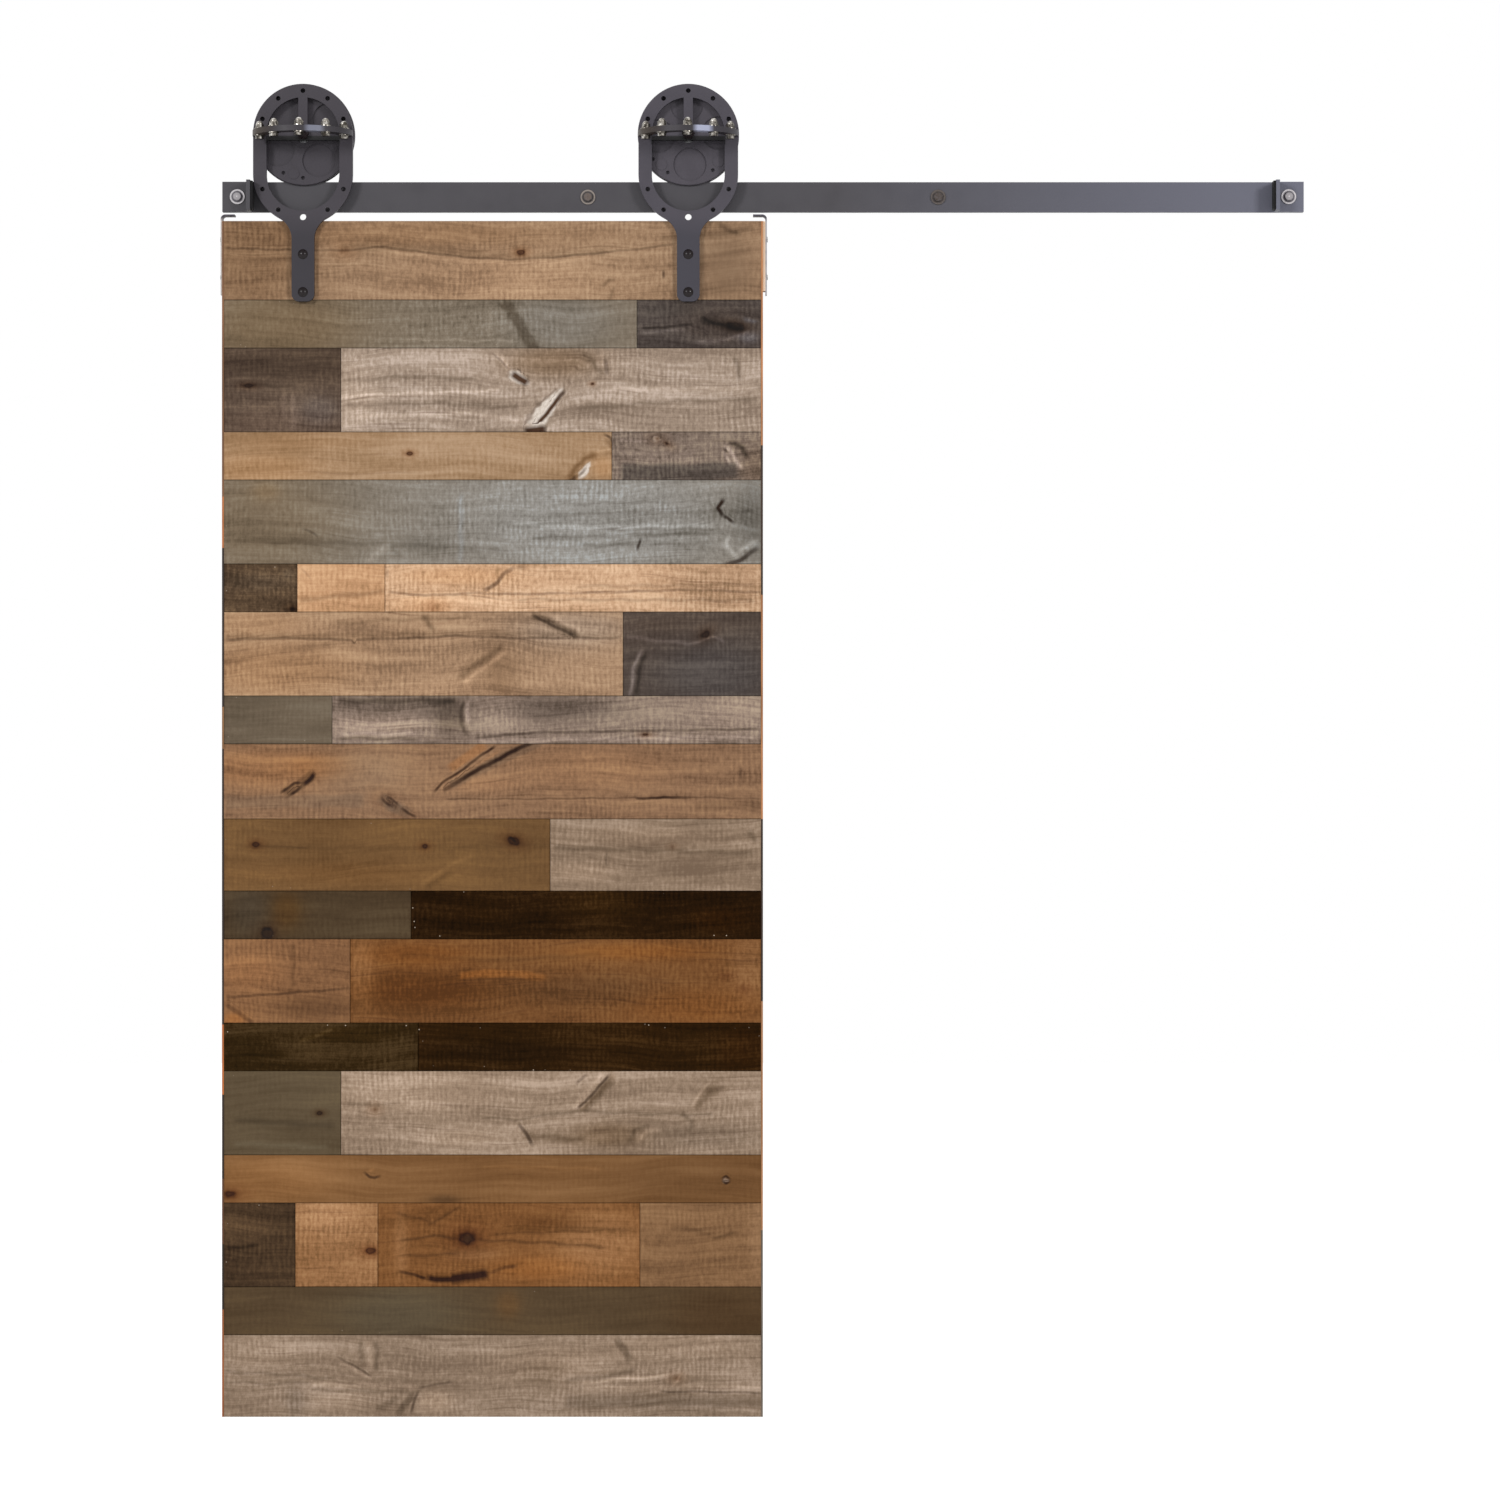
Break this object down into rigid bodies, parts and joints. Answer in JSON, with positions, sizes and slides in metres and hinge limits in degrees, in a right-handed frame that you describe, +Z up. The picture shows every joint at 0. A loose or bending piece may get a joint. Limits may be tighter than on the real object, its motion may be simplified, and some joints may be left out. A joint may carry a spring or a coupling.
{
  "type": "sliding barn door",
  "caption": "Sliding barn door of mixed reclaimed boards, hung by two bolted plate hangers with wheels on a flat steel rail with end stops.",
  "frame": {"origin": "on the wall plane, behind the middle of the rail's centreline", "axes": "+X along the rail to the right as seen from the room, +Y into the wall, +Z up"},
  "size_m": [1.8328, 0.198, 2.2538],
  "materials": {
    "dark_steel": "dark grey powder coat on flat steel",
    "black_strap": "black paint on thin strap",
    "wheel_iron": "dark grey powder coat on cast iron",
    "bearing_steel": "bare steel with dark shields",
    "zinc": "bright zinc plate",
    "black_bolts": "glossy black oxide",
    "packer_pine": "bare pale wood",
    "pad_rubber": "black rubber",
    "panel_plywood": "bare plywood",
    "tan_oak": "reclaimed board, sawn and stained",
    "grey_green_oak": "reclaimed board, sawn and stained",
    "charcoal_oak": "reclaimed board, sawn and stained",
    "light_taupe_pine": "reclaimed board, sawn and stained",
    "golden_pine": "reclaimed board, sawn and stained",
    "grey_brown_oak": "reclaimed board, sawn and stained",
    "dark_brown_oak": "reclaimed board, sawn and stained",
    "orange_tan_pine": "reclaimed board, sawn and stained",
    "warm_brown_pine": "reclaimed board, sawn and stained",
    "olive_brown_oak": "reclaimed board, sawn and stained",
    "black_brown_oak": "reclaimed board, sawn and stained"
  },
  "bodies": {
    "rail": {"rail": "dark_steel", "rail_spacers": "dark_steel", "lag_screws": "zinc", "lag_washers": "zinc", "end_stops": "dark_steel", "stop_pads": "pad_rubber"},
    "door": {"axle_bolts": "black_bolts", "axle_nuts": "zinc", "axle_sleeves": "zinc", "back_panel": "panel_plywood", "board_01": "tan_oak", "board_02a": "grey_green_oak", "board_02b": "charcoal_oak", "board_03a": "charcoal_oak", "board_03b": "light_taupe_pine", "board_04a": "golden_pine", "board_04b": "grey_brown_oak", "board_05": "grey_green_oak", "board_06a": "dark_brown_oak", "board_06b": "orange_tan_pine", "board_06c": "orange_tan_pine", "board_07a": "tan_oak", "board_07b": "charcoal_oak", "board_08a": "grey_green_oak", "board_08b": "grey_brown_oak", "board_09": "warm_brown_pine", "board_10a": "olive_brown_oak", "board_10b": "light_taupe_pine", "board_11a": "grey_green_oak", "board_11b": "black_brown_oak", "board_12a": "warm_brown_pine", "board_12b": "orange_tan_pine", "board_13a": "black_brown_oak", "board_13b": "black_brown_oak", "board_14a": "olive_brown_oak", "board_14b": "light_taupe_pine", "board_15": "golden_pine", "board_16a": "dark_brown_oak", "board_16b": "orange_tan_pine", "board_16c": "orange_tan_pine", "board_16d": "tan_oak", "board_17": "olive_brown_oak", "board_18": "light_taupe_pine", "edge_strips": "orange_tan_pine", "jump_packer": "packer_pine", "jump_screws": "zinc", "jump_straps": "black_strap", "left_hanger": "dark_steel", "left_shelf": "dark_steel", "right_hanger": "dark_steel", "right_shelf": "dark_steel", "shelf_bolts": "zinc", "shelf_nuts": "zinc", "shelf_washers": "zinc", "strap_bolts": "black_bolts", "strap_nuts": "black_bolts"},
    "left_wheel": {"left_wheel": "wheel_iron", "left_wheel_bearing": "bearing_steel"},
    "right_wheel": {"right_wheel": "wheel_iron", "right_wheel_bearing": "bearing_steel"}
  },
  "joints": [
    {"name": "door_slide", "type": "slide", "parent": "rail", "child": "door", "axis": [1, 0, 0], "range_m": [0, 0.90313]},
    {"name": "left_wheel_spin", "type": "hinge", "parent": "door", "child": "left_wheel", "pos_m": [-0.77692, -0.03651, 0.10508], "axis": [0, 1, 0], "continuous": true},
    {"name": "right_wheel_spin", "type": "hinge", "parent": "door", "child": "right_wheel", "pos_m": [-0.12621, -0.03651, 0.10508], "axis": [0, 1, 0], "continuous": true}
  ],
  "couplings": [
    {"joint": "left_wheel_spin", "follows": "door_slide", "rad_per_m": 12.598},
    {"joint": "right_wheel_spin", "follows": "door_slide", "rad_per_m": 12.598}
  ]
}
